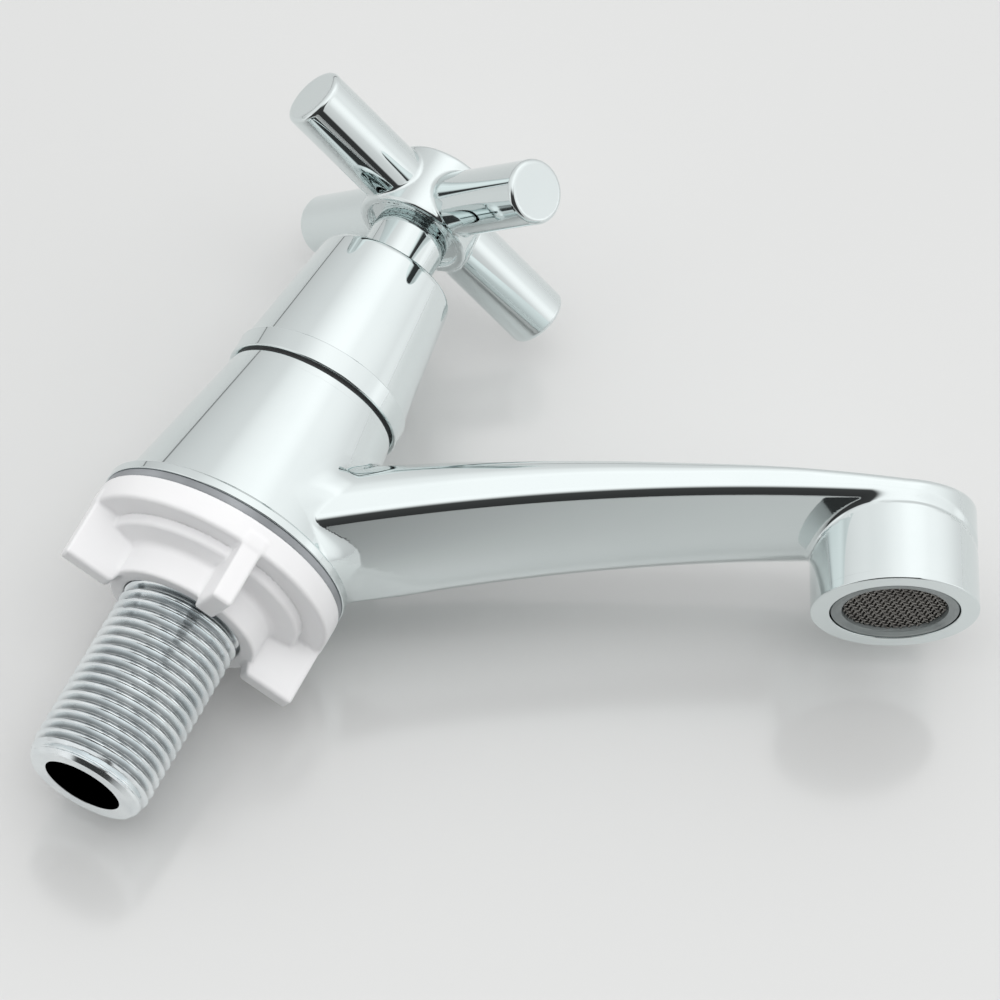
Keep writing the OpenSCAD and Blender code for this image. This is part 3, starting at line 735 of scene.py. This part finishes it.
# %% The room as a function of direction
# Each light: azimuth, elevation, the angles where it is full and gone, and its strength
SOFT_LIGHTS = ((58, 4, 41.5, 68, 0.08), (17, 20, 27.6, 49, 0.09), (-21, 16, 0.7, 22.7, 0.23),
               (-9, 54, 4, 59, 0.16), (171, 32, 2.7, 37.6, 0.12), (69.5, 48.7, 4.5, 27.7, 0.18),
               (-3, 1.7, 1, 20, 0.26), (-153, 12, 6, 18, 0.3))


def room_direction(azimuth, elevation):
    """Unit vector at an angle round the table and an angle above it."""
    a, e = math.radians(azimuth), math.radians(elevation)
    return (ALONG * math.cos(a) + AWAY * math.sin(a)) * math.cos(e) + TABLE_UP * math.sin(e)


world = bpy.data.worlds.new("studio_room")
bpy.context.scene.world = world
world.use_nodes = True
tree = world.node_tree
tree.nodes.clear()
ray = put(tree, "TexCoord").outputs["Generated"]


def toward(direction):
    """How far the ray points along a direction: 1 straight at it, 0 square to it."""
    both = [ray, tuple(direction)]
    return put(tree, "VectorMath", both, operation="DOT_PRODUCT").outputs["Value"]


def soft_light(azimuth, elevation, inner, outer, strength):
    """A round patch of light, full to the inner angle and gone at the outer one."""
    spread = toward(room_direction(azimuth, elevation))
    outer, inner = math.cos(math.radians(outer)), math.cos(math.radians(inner))
    return fade(tree, spread, outer, inner, 0.0, strength)


def step(value, low, high):
    """0 below low, 1 above high; with low and high exchanged it falls from 1 to 0."""
    if low < high:
        return fade(tree, value, low, high)
    return fade(tree, value, high, low, 1.0, 0.0)


height, aside, away = toward(TABLE_UP), toward(ALONG), toward(AWAY)
above = calc(tree, "MAXIMUM", height, 0.0)
wall = calc(tree, "MULTIPLY_ADD", above, 0.25, 0.632)
ceiling = fade(tree, above, 0.736, 1.0, 0.0, 0.185)
glow = calc(tree, "ADD", wall, ceiling)
for light in SOFT_LIGHTS:
    glow = calc(tree, "ADD", glow, soft_light(*light))
# The dark shape ends at the right, at the back, at the top and, by angle, at the left
shape = calc(tree, "MULTIPLY", step(aside, 0.436, 0.376), step(away, -0.1, -0.25))
shape = calc(tree, "MULTIPLY", shape, step(height, 0.958, 0.776))
angle = calc(tree, "ARCTAN2", away, aside)
shape = calc(tree, "MULTIPLY", shape, step(angle, -2.53, -2.36))
# A strip under the horizon is dimmer, from straight behind round to the left
gap = calc(tree, "MULTIPLY", step(angle, 1.3, 1.45), step(height, -0.01, -0.026))
for shade, depth in ((shape, 0.94), (gap, 0.6)):
    glow = calc(tree, "MULTIPLY", glow, calc(tree, "MULTIPLY_ADD", shade, -depth, 1.0))
path = put(tree, "LightPath")
room = put(tree, "Background", {"Color": (1, 1, 1, 1), "Strength": glow})
seen = put(tree, "Background", {"Color": (0.76, 0.77, 0.765, 1), "Strength": 1.0})
mixed = put(tree, "MixShader", [path.outputs["Is Camera Ray"], room.outputs[0], seen.outputs[0]])
put(tree, "OutputWorld", {"Surface": mixed.outputs[0]})
bpy.context.scene.view_settings.view_transform = "Standard"
print("the room has", len(tree.nodes), "nodes")

# %% [markdown]
# A room drawn on a far sky gives hardly any shadows, but the picture has soft ones that
# lie close under the tap. A large lamp above it, a little to the camera's side, makes
# them. Chrome doesn't show it, because the drawn room already holds its reflection.

# %% Soft lamp for the shadows
lamp = bpy.data.lights.new("soft_key", "AREA")
lamp.size = 1.0
lamp.energy = 4.7
lamp_object = bpy.data.objects.new("soft_key", lamp)
lamp_object.location = Vector(room_direction(-92, 76) * 1.2)
lamp_object.rotation_euler = lamp_object.location.to_track_quat("Z", "Y").to_euler()
lamp_object.visible_glossy = False
bpy.context.scene.collection.objects.link(lamp_object)
print("lamp", [round(v, 2) for v in lamp_object.location])

# %% [markdown]
# Three effects are used by several finishes, so each is a node group that is built once:
# the faint smears on polished metal, the marks of turning on a lathe, and the skin of
# moulded plastic or rubber.

# %% Shared effects
def new_group(name, inputs, outputs):
    """An empty node group with named number inputs and outputs."""
    group = bpy.data.node_groups.new(name, "ShaderNodeTree")
    for label, value in inputs.items():
        socket = group.interface.new_socket(label, in_out="INPUT", socket_type="NodeSocketFloat")
        socket.default_value = value
    for label in outputs:
        group.interface.new_socket(label, in_out="OUTPUT", socket_type="NodeSocketFloat")
    into = group.nodes.new("NodeGroupInput").outputs
    return group, into, group.nodes.new("NodeGroupOutput").inputs


def noise(tree, scale, detail, roughness, vector=None):
    """Soft random values from 0 to 1, in the object's own space unless a vector is given."""
    where = vector or put(tree, "TexCoord").outputs["Object"]
    values = {"Vector": where, "Scale": scale, "Detail": detail, "Roughness": roughness}
    return put(tree, "TexNoise", values).outputs["Fac"]


smears, into, out = new_group("polish_smears", {"Smooth": 0.04, "Dull": 0.09, "Scale": 60.0},
                              ["Roughness", "Shade"])
patch = noise(smears, into["Scale"], 4.0, 0.6)
patch = fade(smears, patch, 0.42, 0.72)
smears.links.new(between(smears, patch, into["Smooth"], into["Dull"]), out["Roughness"])
smears.links.new(calc(smears, "SUBTRACT", 1.0, calc(smears, "MULTIPLY", patch, 0.03)), out["Shade"])

skin, into, out = new_group("moulded_skin", {"Scale": 900.0, "Low": 0.4, "High": 0.55},
                            ["Roughness", "Shade", "Height"])
grain = noise(skin, into["Scale"], 3.0, 0.55)
cloud = noise(skin, 90.0, 3.0, 0.5)
skin.links.new(between(skin, grain, into["Low"], into["High"]), out["Roughness"])
skin.links.new(calc(skin, "ADD", 0.94, calc(skin, "MULTIPLY", cloud, 0.12)), out["Shade"])
height = calc(skin, "ADD", calc(skin, "MULTIPLY", grain, 0.7), calc(skin, "MULTIPLY", cloud, 0.3))
skin.links.new(height, out["Height"])

marks, into, out = new_group("turning_marks", {"Scale": 2500.0, "Low": 0.2, "High": 0.4},
                             ["Roughness", "Shade", "Height"])
rings = put(marks, "CombineXYZ", [*round_axis(marks), 0.0]).outputs[0]
fine = noise(marks, into["Scale"], 2.0, 0.6, rings)
cloud = noise(marks, 150.0, 3.0, 0.6)
marks.links.new(between(marks, cloud, into["Low"], into["High"]), out["Roughness"])
marks.links.new(calc(marks, "ADD", 0.9, calc(marks, "MULTIPLY", cloud, 0.2)), out["Shade"])
marks.links.new(fine, out["Height"])
print("groups:", [g.name for g in (smears, skin, marks)])

# %% [markdown]
# Each finish is a Principled shader with its own colour and one of the effects. The
# colour is mixed between a darker and a lighter form of itself, so that no surface is
# one flat value.

# %% Finishes
BUMP_DEPTH = 0.00005


def finish(name, group, values, dark, light, bump=0.0, paint=None, **sockets):
    """A Principled material: the group's Shade mixes dark and light, and its Roughness and
    Height do the rest. A paint function may change the colour before the shader gets it."""
    material = bpy.data.materials.new(name)
    material.use_nodes = True
    tree = material.node_tree
    tree.nodes.clear()
    effect = put(tree, "Group", values, node_tree=group)
    tone = blend(tree, fade(tree, effect.outputs["Shade"], 0.94, 1.04), dark, light)
    tone = paint(tree, tone) if paint else tone
    looks = {"Base Color": tone, "Roughness": effect.outputs["Roughness"]}
    shader = put(tree, "BsdfPrincipled", looks)
    for label, value in sockets.items():
        shader.inputs[label.replace("_", " ")].default_value = value
    if bump:
        height = effect.outputs["Height"]
        relief = put(tree, "Bump", {"Strength": bump, "Distance": BUMP_DEPTH, "Height": height})
        tree.links.new(relief.outputs[0], shader.inputs["Normal"])
    put(tree, "OutputMaterial", {"Surface": shader.outputs[0]})
    return material


def tail_shade_paint(tree, tone):
    """Painted shade: the bore is made nearly black, and the thread's grooves are darkened, but not
    the chamfer.
    """
    radius, z = round_axis(tree)
    # painted shade: the bore's wall is made nearly black
    bore = fade(tree, radius, 0.00662, 0.00668, 0.02, 1.0)
    # painted shade: the thread's grooves are darkened to half, above the chamfer
    groove_shade = fade(tree, radius, 0.0093, 0.0102, 0.5, 0.0)
    threaded = fade(tree, z, -0.0438, -0.0425)
    shade_factor = calc(tree, "SUBTRACT", 1.0, calc(tree, "MULTIPLY", groove_shade, threaded))
    return put(tree, "Mix", {0: 1.0, 6: tone, 7: calc(tree, "MULTIPLY", bore, shade_factor)},
               data_type="RGBA", blend_type="MULTIPLY").outputs[2]


def dress(material, *pieces):
    """Gives pieces their material: new pieces as objects, CAD nodes by their names."""
    for piece in pieces:
        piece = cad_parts[piece] if isinstance(piece, str) else piece
        if not piece.material_slots:
            piece.data.materials.append(material)
        for slot in piece.material_slots:
            slot.material = material


chrome = finish("bright_chrome", smears, {"Smooth": 0.03, "Dull": 0.06, "Scale": 70.0},
                (0.74, 0.80, 0.80), (0.77, 0.825, 0.825), Metallic=1.0)
zinc = finish("zinc_coat", marks, {"Scale": 1800.0, "Low": 0.10, "High": 0.24},
              (0.74, 0.79, 0.81), (0.90, 0.94, 0.95), bump=0.15, paint=tail_shade_paint, Metallic=1.0)
white_plastic = finish("white_nylon", skin, {"Scale": 1500.0, "Low": 0.32, "High": 0.45},
                       (0.89, 0.89, 0.90), (0.93, 0.93, 0.935), bump=0.08)
grey_gasket = finish("grey_gasket_rubber", skin, {"Scale": 700.0, "Low": 0.6, "High": 0.8},
                     (0.16, 0.17, 0.18), (0.42, 0.44, 0.46), bump=0.3)
black_rubber = finish("black_rubber", skin, {"Scale": 900.0, "Low": 0.5, "High": 0.7},
                      (0.018, 0.018, 0.019), (0.035, 0.035, 0.036), bump=0.2)
brass = finish("turned_brass", marks, {"Scale": 2600.0, "Low": 0.2, "High": 0.36},
               (0.66, 0.46, 0.20), (0.80, 0.60, 0.30), bump=0.2, Metallic=1.0)
ceramic = finish("lapped_ceramic", skin, {"Scale": 2500.0, "Low": 0.1, "High": 0.2},
                 (0.80, 0.79, 0.76), (0.88, 0.87, 0.84), bump=0.03, Coat_Weight=0.3)
slip_plastic = finish("slip_plastic", skin, {"Scale": 1600.0, "Low": 0.35, "High": 0.5},
                      (0.30, 0.28, 0.26), (0.40, 0.38, 0.35), bump=0.08)
steel = finish("spring_steel", marks, {"Scale": 2400.0, "Low": 0.22, "High": 0.38},
               (0.44, 0.45, 0.46), (0.58, 0.59, 0.60), bump=0.15, Metallic=1.0)
aerator_grey = finish("satin_grey_ring", marks, {"Scale": 2400.0, "Low": 0.25, "High": 0.4},
                      (0.21, 0.235, 0.235), (0.31, 0.34, 0.34), bump=0.1, Metallic=0.5)
gauze_steel = finish("gauze_steel", smears, {"Smooth": 0.25, "Dull": 0.4, "Scale": 300.0},
                     (0.20, 0.19, 0.18), (0.32, 0.31, 0.29), Metallic=1.0)
dress(chrome, tap_body, foot, collar, rim, bonnet, neck, handle, cap)
dress(zinc, tail)
dress(white_plastic, nut)
dress(grey_gasket, gasket)
dress(aerator_grey, ring)
dress(gauze_steel, mesh_disc)
dress(black_rubber, "tail_seal", "head_gasket", "seat_seal", "spindle_ring_lower",
      "spindle_ring_upper", "aerator_seal")
dress(brass, "headwork_housing", "spindle")
dress(ceramic, "fixed_disc", "turning_disc")
dress(slip_plastic, "friction_washer", "aerator_insert")
dress(steel, "circlip", "handle_screw")
print(len(bpy.data.materials), "materials")

# %% [markdown]
# The table is pale glossy board: a matt colour under a slightly blurred gloss, which
# shows the faint ghost of the outlet. Seen from behind it is clear, so that a camera
# under the table sees the tap too.

# %% Table finish
material = bpy.data.materials.new("pale_board")
material.use_nodes = True
tree = material.node_tree
tree.nodes.clear()
tone = blend(tree, noise(tree, 3.0, 3.0, 0.5), (0.68, 0.685, 0.68), (0.71, 0.715, 0.71))
board = put(tree, "BsdfPrincipled", {"Base Color": tone, "Roughness": 0.17, "IOR": 1.9})
behind = put(tree, "MixShader", [put(tree, "NewGeometry").outputs["Backfacing"], board.outputs[0],
                                 put(tree, "BsdfTransparent").outputs[0]])
put(tree, "OutputMaterial", {"Surface": behind.outputs[0]})
dress(material, table)
